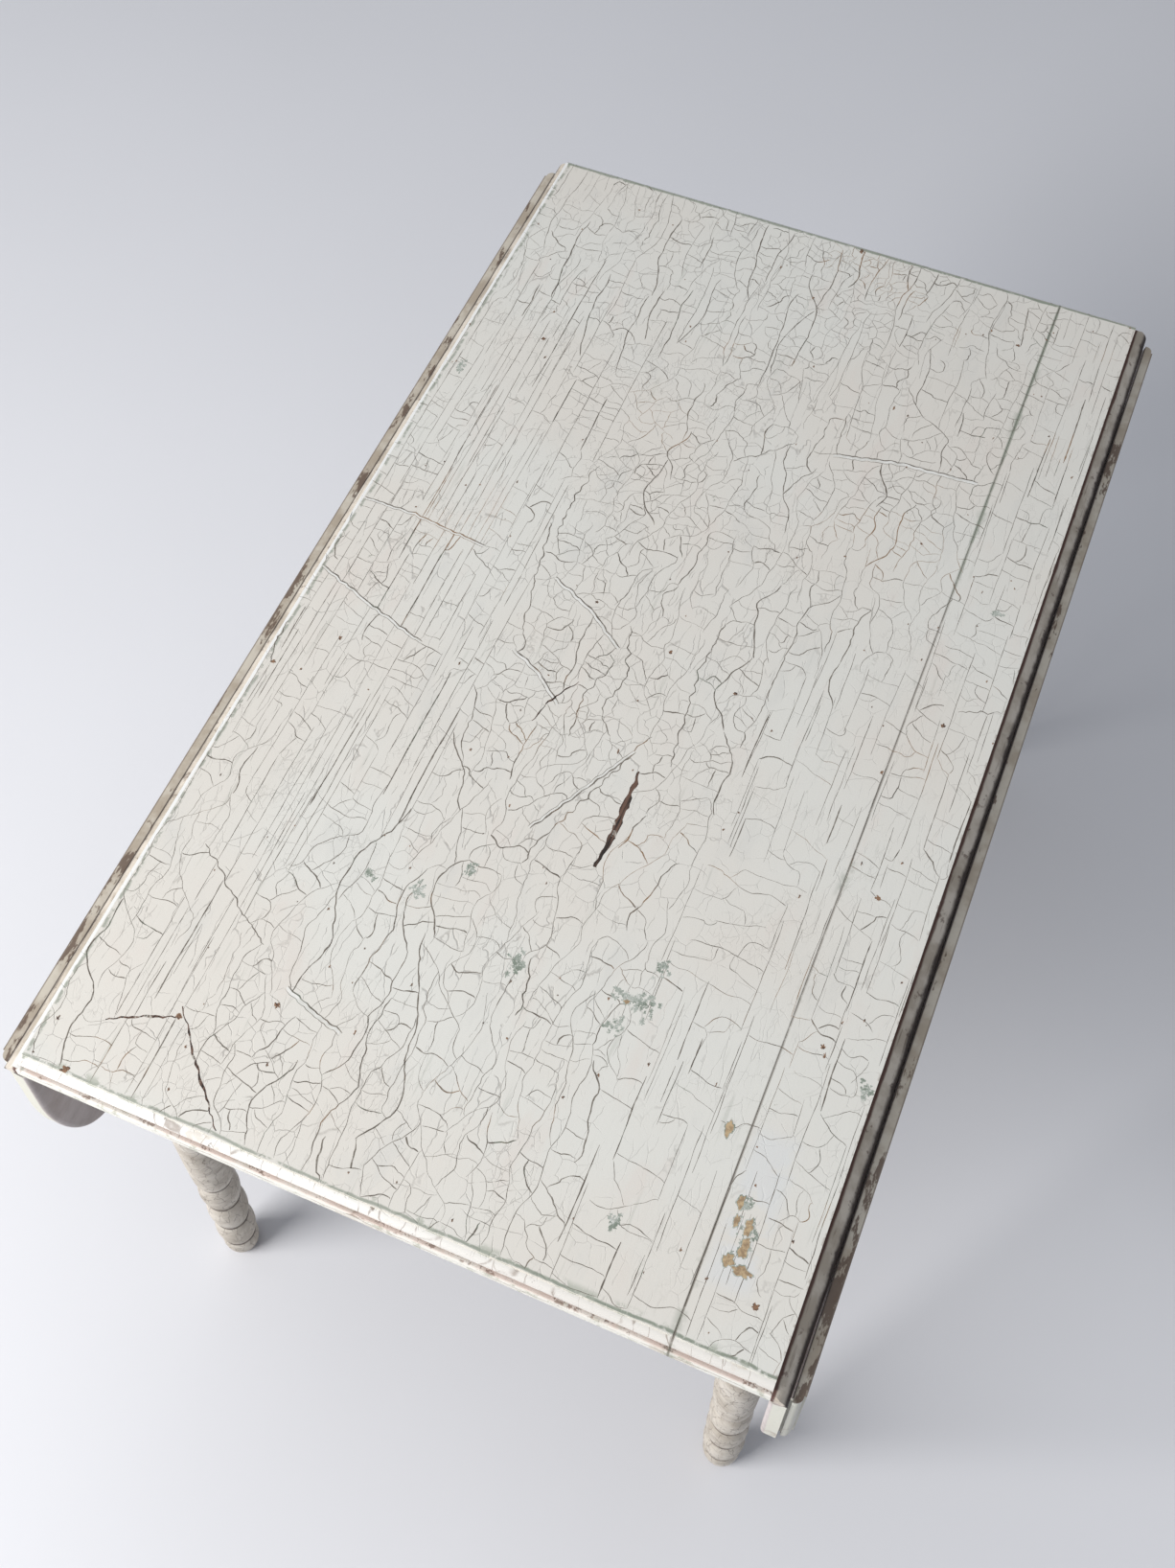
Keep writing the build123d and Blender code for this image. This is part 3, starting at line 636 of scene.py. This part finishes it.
# ---- rails, bare wood, iron ----
def rail_finish():
    finish = Finish("old_paint_on_rails")
    x, y, z = finish.axes(finish.place)
    nx, ny, nz = finish.axes(finish.facing)
    coarse = finish.noise(finish.place, 22.0, 5, 0.65)
    ragged = finish.noise(finish.place, 100.0, 4, 0.7)
    paint, middle = old_paint(finish)[:2]
    along_side, fibres = old_wood(finish, ALONG_Y)
    along_end = old_wood(finish, ALONG_X)[0]
    on_end = finish.ramp(finish.size(ny), 0.5, 0.8)
    wood = finish.blend(on_end, along_side, along_end)
    bent = finish.warped(finish.place, 45.0, 0.010)
    crackle = finish.cracks(finish.stretch(bent, (0.7, 0.2, 1.0)), 70.0, 0.03)
    crackle = finish.times(crackle, finish.ramp(ragged, 0.38, 0.55))
    paint = finish.touch(paint, crackle, 0.6, CRACK)
    paint = finish.touch(paint, finish.ramp(coarse, 0.62, 0.68), 0.7, RAIL_WEAR)
    outward = finish.add(finish.times(nx, finish.maths("SIGN", x)), finish.times(ny, finish.maths("SIGN", y)))
    bare = finish.ramp(outward, -0.5, -0.9)
    finish.colour(finish.blend(bare, paint, wood))
    height = finish.add(finish.times(middle, 0.5), finish.times(fibres, 0.25))
    finish.bump(finish.less(height, finish.times(crackle, 0.5)), 0.5, 0.9 * MM)
    finish.put("Roughness", 0.64)
    return finish.material


def bare_finish():
    finish = Finish("aged_bare_wood")
    wood, fibres = old_wood(finish, ALONG_Y)
    worn = finish.noise(finish.place, 60.0, 4, 0.6)
    finish.colour(finish.blend(finish.ramp(worn, 0.45, 0.7, 0.0, 0.5), wood, WOOD_WORN))
    finish.bump(fibres, 0.45, 0.8 * MM)
    finish.put("Roughness", 0.72)
    return finish.material


def iron_finish():
    finish = Finish("rusted_iron")
    patches = finish.noise(finish.place, 120.0, 5, 0.7)
    pits = finish.noise(finish.place, 700.0, 3, 0.7)
    colour = finish.blend(finish.ramp(patches, 0.42, 0.62), IRON_BLACK, RUST)
    finish.colour(finish.blend(finish.ramp(pits, 0.55, 0.7, 0.0, 0.6), colour, IRON_PIT))
    finish.put("Metallic", finish.ramp(patches, 0.42, 0.62, 0.85, 0.15))
    finish.put("Roughness", finish.ramp(patches, 0.4, 0.6, 0.45, 0.85))
    finish.bump(finish.add(patches, finish.times(pits, 0.3)), 0.4, 0.4 * MM)
    return finish.material


def steel_finish():
    finish = Finish("dull_steel_screws")
    patches = finish.noise(finish.place, 300.0, 4, 0.6)
    finish.colour(finish.blend(finish.ramp(patches, 0.5, 0.65), STEEL_GREY, STEEL_RUST))
    finish.put("Metallic", finish.ramp(patches, 0.5, 0.65, 0.9, 0.3))
    finish.put("Roughness", finish.ramp(patches, 0.4, 0.65, 0.35, 0.75))
    finish.bump(patches, 0.3, 0.2 * MM)
    return finish.material


def dress_nodes():
    finishes = {
        "painted_top": top_finish(),
        "painted_leaf": leaf_finish(),
        "painted_leg": leg_finish(),
        "painted_rail": rail_finish(),
        "bare_wood": bare_finish(),
        "iron_hinge": iron_finish(),
        "steel_screw": steel_finish(),
    }
    for part in frame["record"]["subparts"]:
        node = nodes[part["node"]]
        for place in node.material_slots:
            place.material = finishes[part["material_slot"]]


# ---- cracks, scratches and flaked places in the paint of the top ----
class CrackMap:
    """Paths of cracks on the flat face of the top. A growing crack stops where it meets another."""

    CELL = 1.3 * MM

    def __init__(self, seed):
        self.random = random.Random(seed)
        self.taken = {}
        self.paths = []

    def cell(self, point):
        return (math.floor(point.x / self.CELL), math.floor(point.y / self.CELL))

    def mark(self, path, owner):
        for first, second in zip(path, path[1:]):
            steps = max(1, int((second - first).length / (0.5 * self.CELL)))
            for step in range(steps + 1):
                self.taken[self.cell(first.lerp(second, step / steps))] = owner

    def inside(self, point):
        return abs(point.x) < HALF_WIDTH - 0.8 * MM and abs(point.y) < HALF_LENGTH - 0.8 * MM

    def is_clear(self, point, gap):
        if self.cell(point) in self.taken:
            return False
        for ring in (0.25, 0.5, 0.75, 1.0):
            for turn in range(12):
                angle = turn * math.pi / 6
                around = point + Vector((math.cos(angle), math.sin(angle))) * gap * ring
                if self.cell(around) in self.taken:
                    return False
        return True

    def nearest(self, point, limit):
        """Angle from a place to the nearest crack within a distance, or None."""
        ring = 1.5 * self.CELL
        while ring < limit:
            for turn in range(16):
                angle = turn * math.pi / 8 + ring * 900
                around = point + Vector((math.cos(angle), math.sin(angle))) * ring
                if self.cell(around) in self.taken:
                    return angle
            ring += self.CELL
        return None

    def meets(self, first, second):
        """The first other crack between two places, or None."""
        start = self.cell(first)
        steps = max(2, int((second - first).length / (0.4 * self.CELL)))
        for step in range(1, steps + 1):
            point = first.lerp(second, step / steps)
            if self.cell(point) != start and self.cell(point) in self.taken:
                return point
        return None

    def grow(self, start, heading, wander, reach, step, aim=None, grip=0.0, sight=0.0):
        """Walk from a point until another crack, the edge or the full length is met."""
        path = [start.copy()]
        angle = heading
        gone = 0.0
        while gone < reach:
            angle += self.random.gauss(0, wander)
            if aim is not None:
                angle += (aim - angle) * grip
            near = self.nearest(path[-1], sight)
            if near is not None and math.cos(near - angle) > 0.2:
                angle += 0.5 * math.remainder(near - angle, 2 * math.pi)
            ahead = path[-1] + Vector((math.cos(angle), math.sin(angle))) * step
            if not self.inside(ahead):
                break
            met = self.meets(path[-1], ahead)
            if met is not None:
                path.append(met)
                break
            path.append(ahead)
            gone += step
        return path

    def keep(self, path, width):
        if len(path) < 3:
            return
        self.paths.append((path, width))
        self.mark(path, len(self.paths))


# How the paint has broken at a place: gap between grain cracks, their length and sway, size of the cells
# between cross cracks, and the reach, wander and lean of those
Net = namedtuple("Net", "gap length sway cells reach wander lean")


def region(x, y):
    soft = noise.noise(Vector((x * 9, y * 7, 3.0)))
    banded = noise.noise(Vector((x * 26, y * 1.3, 8.0))) > 0.06
    if x > SEAM:
        net = Net(28 if banded else 60, 60, 0.04, 17 + 14 * soft, 26, 0.20, 0.5)
    elif y > 0.34:
        net = Net(22 if banded else 55, 70, 0.12, 13 + 14 * soft, 26, 0.32, 0.8)
    elif x < 0.10 and y < -0.24:
        if abs(x + 0.235) < 0.030:
            net = Net(8, 110, 0.03, 22, 40, 0.16, 0.5)
        else:
            net = Net(40 + 20 * soft, 150, 0.24, 19 + 14 * soft, 120, 0.17, 0.5)
    elif x < -0.12:
        net = Net(10 if banded else 30, 110, 0.03, 15 + 14 * soft, 40, 0.18, 0.45)
    elif x < 0.12 or y > 0.05:
        net = Net(48 + 30 * soft, 80, 0.26, 14 + 16 * soft, 50, 0.28, 0.8)
    else:
        net = Net(130 + 40 * soft, 50, 0.05, 38 + 24 * soft, 46, 0.12, 0.22)
    return net._replace(gap=net.gap * MM, length=net.length * MM, cells=net.cells * MM, reach=net.reach * MM)


def ragged_path(points, sway, seed=0.0):
    """A path through a few known places, made uneven between them."""
    path = []
    for first, second in zip(points, points[1:]):
        start, end = Vector(first) * MM, Vector(second) * MM
        steps = max(2, int((end - start).length / (3.0 * MM)))
        sideways = Vector((start.y - end.y, end.x - start.x)).normalized()
        for step in range(steps):
            here = start.lerp(end, step / steps)
            path.append(here + sideways * noise.noise(Vector((here.x * 140, here.y * 140, seed))) * sway * MM)
    path.append(Vector(points[-1]) * MM)
    return path


# Long cracks that stand out: millimetres on the top face, and width
LONG_CRACKS = (
    (((37, -90), (12, -160), (-14, -226), (-18, -247)), 0.9),
    (((56, 48), (52, -10), (58, -60), (64, -112)), 0.8),
    (((-272, -334), (-226, -368), (-183, -397)), 0.8),
    (((-51, 359), (-34, 361), (-16, 360)), 0.9),
    (((-4, 231), (22, 250), (45, 275)), 0.8),
    (((-112, -34), (-120, 3), (-137, 92)), 0.9),
    (((34, -373), (30, -345), (24, -323)), 1.0),
    (((-122, 174), (-128, 125), (-126, 78)), 0.8),
    (((-51, -551), (-60, -542), (-63, -520)), 1.2),
    (((-315, -104), (-314, -130), (-308, -151)), 1.0),
    (((280, 37), (298, 46), (315, 52)), 0.8),
    (((-22, 12), (-6, -40), (-14, -80), (4, -104)), 0.9),
    (((-20, -30), (-34, -70), (-30, -118)), 0.9),
)
# Wide splits with brown wood in them, tapering to both ends
SPLITS = (
    (((41, -127), (42, -157), (43, -192), (40, -227)), 5.0),
    (((-218, -470), (-200, -489), (-184, -508), (-143, -549)), 1.9),
    (((-269, -503), (-242, -489), (-213, -478)), 1.6),
    (((-44, -62), (-60, -92), (-66, -116)), 1.5),
)
# Scratches: pushed-up pale paint between two dark lines
SCRATCHES = (
    (((-314, 51), (-264, 51), (-184, 42)), 2.6),
    (((-314, -37), (-255, -59), (-192, -79)), 2.8),
    (((84, 274), (148, 289), (224, 294)), 4.0),
    (((-148, -423), (-115, -435), (-90, -442)), 3.6),
    (((-108, 34), (-64, 14), (-24, -16)), 3.2),
    (((-112, -54), (-84, -66), (-52, -92)), 3.2),
    (((30, -110), (4, -158), (-26, -214)), 2.6),
)
# Flaked places: middle and half sizes across and along
FLAKES = (
    ((118, -325), (15, 9)), ((125, -290), (5, 7)), ((108, -351), (7, 5)), ((15, -332), (6, 9)),
    ((-132, -306), (6, 4)), ((-88, -305), (5, 6)), ((-56, -270), (4, 6)), ((166, -495), (5, 6)),
    ((263, -466), (6, 12)), ((256, -446), (3, 7)), ((312, -324), (5, 6)), ((282, 155), (4, 3)),
    ((-298, 240), (3, 8)),
)
# Bare tan wood inside the flaked places
TAN = (
    ((262, -459), (3.3, 6.5)), ((264, -476), (3.6, 8.0)), ((256, -488), (4.8, 5.0)),
    ((268, -492), (6.5, 4.0)), ((250, -444), (2.4, 5.4)), ((252, -458), (2.1, 4.5)),
    ((110, -328), (2.4, 1.8)), ((222, -394), (2.6, 6.5)),
)
# Nail heads and rust stains
SPOTS = (
    ((24, 550), 2.6), ((-237, 305), 1.8), ((212, 484), 1.8), ((271, 20), 2.2), ((269, -162), 2.2),
    ((268, -303), 2.0), ((286, -512), 2.4), ((-277, -552), 3.2), ((-148, -439), 2.4), ((21, -1), 1.6),
    ((-262, -103), 1.8), ((-306, -149), 2.0), ((-216, -478), 2.2), ((-62, 24), 1.4), ((90, -20), 1.6),
)
SPECKS = 150                   # small dark specks, anywhere


GRAIN_TRIES, CROSS_TRIES = 2600, 15000
GRAIN_STEP, CROSS_STEP = 4.0 * MM, 2.4 * MM
STRAIGHT = 0.1                 # grain cracks that sway less than this keep to the grain
BOLD_GRAIN, FINE_GRAIN = (0.75, 1.15), (0.30, 0.55)      # widths in millimetres
BOLD_CROSS, FINE_CROSS = (0.65, 1.05), (0.28, 0.6)


def anywhere(chance):
    return Vector((chance.uniform(-HALF_WIDTH, HALF_WIDTH), chance.uniform(-HALF_LENGTH, HALF_LENGTH)))


def grow_cracks():
    cracks = CrackMap(41)
    chance = cracks.random
    for points, width in LONG_CRACKS:
        cracks.keep(ragged_path(points, 4.0), width * MM)
    for points, width in SPLITS + SCRATCHES:
        cracks.mark(ragged_path(points, 1.5), 0)

    # long cracks along the grain
    grain = math.pi / 2
    for attempt in range(GRAIN_TRIES):
        start = anywhere(chance)
        net = region(start.x, start.y)
        if not cracks.is_clear(start, 0.5 * net.gap):
            continue
        length = net.length * chance.uniform(0.15, 1.0)
        grip = 0.4 if net.sway < STRAIGHT else 0.12
        ahead = cracks.grow(start, grain, net.sway, length, GRAIN_STEP, grain, grip)
        behind = cracks.grow(start, -grain, net.sway, length, GRAIN_STEP, -grain, grip)
        bold = chance.random() < (0.10 if net.sway < STRAIGHT else 0.3)
        width = chance.uniform(*(BOLD_GRAIN if bold else FINE_GRAIN))
        cracks.keep(list(reversed(behind)) + ahead[1:], width * MM)

    # cross cracks fill the open cells, head for their neighbours and stop there
    for attempt in range(CROSS_TRIES):
        start = anywhere(chance)
        net = region(start.x, start.y)
        if not cracks.is_clear(start, 0.42 * max(net.cells, 5 * MM)):
            continue
        heading = cracks.nearest(start, 2 * net.cells) if net.lean > 0.3 else None
        if heading is None:
            heading = chance.gauss(0, net.lean)
        heading += chance.gauss(0, 0.18)
        reach = net.reach * chance.uniform(0.4, 1.2)
        sight = 0.6 * net.cells
        ahead = cracks.grow(start, heading, net.wander, reach, CROSS_STEP, sight=sight)
        behind = cracks.grow(start, heading + math.pi, net.wander, reach, CROSS_STEP, sight=sight)
        bold = chance.random() < (0.30 if reach > 50 * MM else 0.16)
        width = chance.uniform(*(BOLD_CROSS if bold else FINE_CROSS))
        cracks.keep(list(reversed(behind)) + ahead[1:], width * MM)
    return cracks.paths


# How far the marks stand proud of the paint, and how deep they reach into it
CRACK_LIFT, SPLIT_LIFT, PALE_LIFT, SPOT_LIFT = 0.03 * MM, 0.06 * MM, 0.045 * MM, 0.07 * MM
SINK = 0.35 * MM


def ribbon(shape, path, width, lift, tapering=2.5):
    """A thin closed sliver along a path, just proud of the paint, narrowing to its ends."""
    verts, faces = shape
    count = len(path)
    first = len(verts)
    for index, point in enumerate(path):
        way = path[min(count - 1, index + 1)] - path[max(0, index - 1)]
        if way.length == 0:
            way = Vector((0, 1))
        way.normalize()
        sideways = Vector((-way.y, way.x))
        vary = 1 + 0.8 * noise.noise(Vector((point.x * 160, point.y * 160, width * 900)))
        taper = min(1.0, 0.4 + min(index, count - 1 - index) / tapering)
        half = 0.5 * width * max(0.3, vary) * taper
        for hand, level in ((-1, lift), (1, lift), (0, -SINK)):
            spot = point + sideways * half * hand
            verts.append((spot.x, spot.y, TOP + level))
    for index in range(count - 1):
        start = first + 3 * index
        for corner in range(3):
            after = (corner + 1) % 3
            faces.append((start + corner, start + 3 + corner, start + 3 + after, start + after))
    last = first + 3 * (count - 1)
    faces.append((first, first + 1, first + 2))
    faces.append((last + 2, last + 1, last))


def scale_of_paint(shape, middle, half, lift, roughness=0.5, spikes=1.2):
    """A thin closed scale with a ragged outline."""
    verts, faces = shape
    count = 36
    first = len(verts)
    for level in (lift, -SINK):
        for index in range(count):
            angle = 2 * math.pi * index / count
            way = Vector((math.cos(angle), math.sin(angle)))
            soft = noise.noise(Vector((way.x * 1.6 + middle.x * 50, way.y * 1.6 + middle.y * 50, 1.0)))
            sharp = noise.noise(Vector((way.x * 6 + middle.x * 90, way.y * 6 + middle.y * 90, 5.0)))
            size = max(0.25, 1 + 2 * roughness * soft + spikes * roughness * sharp)
            spot_x = max(-HALF_WIDTH, min(HALF_WIDTH, middle.x + way.x * half[0] * size))
            spot_y = max(-HALF_LENGTH, min(HALF_LENGTH, middle.y + way.y * half[1] * size))
            verts.append((spot_x, spot_y, TOP + level))
    faces.append(tuple(first + index for index in range(count)))
    faces.append(tuple(first + 2 * count - 1 - index for index in range(count)))
    for index in range(count):
        after = (index + 1) % count
        faces.append((first + index, first + count + index, first + count + after, first + after))


def crack_finish():
    finish = Finish("cracks_in_paint")
    coarse = finish.noise(finish.place, 22.0, 4, 0.65)
    broad = finish.noise(finish.place, 9.0, 3, 0.6)
    fine = finish.noise(finish.place, 240.0, 3, 0.7)
    colour = finish.blend(finish.ramp(coarse, 0.38, 0.62), CRACK_LIGHT, CRACK_DARK)
    colour = finish.blend(finish.ramp(coarse, 0.58, 0.70), colour, CRACK_GREEN)
    colour = finish.blend(finish.ramp(broad, 0.60, 0.66, 0.0, 0.7), colour, CRACK_RUST)
    colour = finish.blend(finish.ramp(fine, 0.50, 0.66, 0.0, 0.6), colour, CRACK_DUST)
    finish.colour(colour)
    finish.put("Roughness", 0.85)
    finish.bump(fine, 0.4, 0.2 * MM)
    return finish.material


def split_finish():
    finish = Finish("brown_wood_in_splits")
    fibres = finish.noise(finish.stretch(finish.place, (90.0, 5.0, 1.0)), 6.0, 4, 0.65)
    coarse = finish.noise(finish.place, 70.0, 4, 0.65)
    colour = finish.blend(finish.ramp(fibres, 0.40, 0.60), SPLIT_DARK, SPLIT_BROWN)
    finish.colour(finish.blend(finish.ramp(coarse, 0.58, 0.64, 0.0, 0.8), colour, SPLIT_PAINT))
    finish.put("Roughness", 0.85)
    finish.bump(fibres, 0.5, 0.4 * MM)
    return finish.material


def flake_finish():
    finish = Finish("green_undercoat")
    coarse = finish.noise(finish.place, 120.0, 5, 0.7)
    fine = finish.noise(finish.place, 420.0, 4, 0.7)
    colour = finish.blend(finish.ramp(coarse, 0.40, 0.62), FLAKE_PALE, FLAKE_GREEN)
    colour = finish.blend(finish.ramp(fine, 0.53, 0.60, 0.0, 0.8), colour, FLAKE_PAINT)
    finish.colour(finish.blend(finish.ramp(coarse, 0.66, 0.70, 0.0, 0.7), colour, FLAKE_WOOD))
    finish.put("Roughness", 0.8)
    finish.bump(finish.add(coarse, fine), 0.5, 0.4 * MM)
    return finish.material


def two_tone(name, scale, detail, span, colours, roughness, strength, depth):
    """A finish of two colours, mixed by one noise."""
    finish = Finish(name)
    grain = finish.noise(finish.place, scale, detail, 0.7)
    finish.colour(finish.blend(finish.ramp(grain, *span), *colours))
    finish.put("Roughness", roughness)
    finish.bump(grain, strength, depth)
    return finish.material


def pale_finish():
    pair = (PUSHED_LIGHT, PUSHED_DARK)
    return two_tone("pushed_up_paint", 90.0, 5, (0.40, 0.62), pair, 0.6, 0.6, 0.5 * MM)


def spot_finish():
    pair = (SPOT_RUST, SPOT_DARK)
    return two_tone("rust_stains", 500.0, 4, (0.42, 0.60), pair, 0.85, 0.5, 0.3 * MM)


def tan_finish():
    pair = (TAN_LIGHT, TAN_DARK)
    return two_tone("bare_tan_wood", 160.0, 4, (0.40, 0.62), pair, 0.8, 0.5, 0.3 * MM)


def add_marks(name, shape, material):
    verts, faces = shape
    mesh = bpy.data.meshes.new(name)
    mesh.from_pydata(verts, [], faces)
    mesh.validate()
    mesh.materials.append(material)
    piece = bpy.data.objects.new(name, mesh)
    bpy.context.scene.collection.objects.link(piece)
    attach(piece, "table")


def lay_scratches(lines, pale):
    """Each scratch is a band of pushed-up paint with a strong and a weak dark line beside it."""
    for points, width in SCRATCHES:
        path = ragged_path(points, 2.0)
        ribbon(pale, path, 0.8 * width * MM, PALE_LIFT, 4)
        for hand, weight in ((0.5, 1.1), (-0.5, 0.4)):
            aside = []
            for index, point in enumerate(path):
                way = (path[min(len(path) - 1, index + 1)] - path[max(0, index - 1)]).normalized()
                aside.append(point + Vector((-way.y, way.x)) * width * MM * hand)
            ribbon(lines, aside, weight * MM, SPLIT_LIFT)


def lay_flakes(chance, flakes):
    """Each flaked place is a cluster of small bare crumbs."""
    for middle, half in FLAKES:
        for crumb in range(8 + int(0.4 * half[0] * half[1])):
            across, along = (chance.gauss(middle[axis], 0.6 * half[axis]) for axis in (0, 1))
            place = Vector((across, along)) * MM
            size = chance.uniform(0.6, 2.2) * MM
            lift = chance.uniform(0.04, 0.06) * MM
            if abs(place.x) < HALF_WIDTH and abs(place.y) < HALF_LENGTH:
                scale_of_paint(flakes, place, (size, size * chance.uniform(0.6, 1.6)), lift, 0.55)


def lay_tan_wood(chance, flakes, tans):
    """Bare wood inside a rim of undercoat."""
    for middle, half in TAN:
        place = Vector(middle) * MM
        rim = Vector((half[0] + 0.9, half[1] + 0.9)) * MM
        scale_of_paint(flakes, place, rim, chance.uniform(0.061, 0.067) * MM, 0.28, 0.8)
        scale_of_paint(tans, place, Vector(half) * MM, chance.uniform(0.072, 0.08) * MM, 0.28, 0.8)


def lay_spots(chance, spots):
    for middle, size in SPOTS:
        scale_of_paint(spots, Vector(middle) * MM, (size * MM, size * MM), SPOT_LIFT, 0.4)
    for speck in range(SPECKS):
        place = anywhere(chance)
        size = chance.uniform(0.4, 1.0) * MM
        scale_of_paint(spots, place, (size, size * chance.uniform(0.8, 2.2)), SPOT_LIFT, 0.6)


def make_marks():
    chance = random.Random(7)
    lines, splits, pale, flakes, tans, spots = [([], []) for shape in range(6)]
    for path, width in grow_cracks():
        ribbon(lines, path, width, CRACK_LIFT)
    for points, width in SPLITS:
        path = ragged_path(points, 2.0)
        ribbon(splits, path, width * MM, SPLIT_LIFT, len(path) / 2)
    lay_scratches(lines, pale)
    lay_flakes(chance, flakes)
    lay_tan_wood(chance, flakes, tans)
    lay_spots(chance, spots)
    add_marks("top_cracks", lines, crack_finish())
    add_marks("top_splits", splits, split_finish())
    add_marks("top_scratches", pale, pale_finish())
    add_marks("top_flakes", flakes, flake_finish())
    add_marks("top_tan_wood", tans, tan_finish())
    add_marks("top_spots", spots, spot_finish())


make_camera()
make_studio()
dress_nodes()
make_marks()
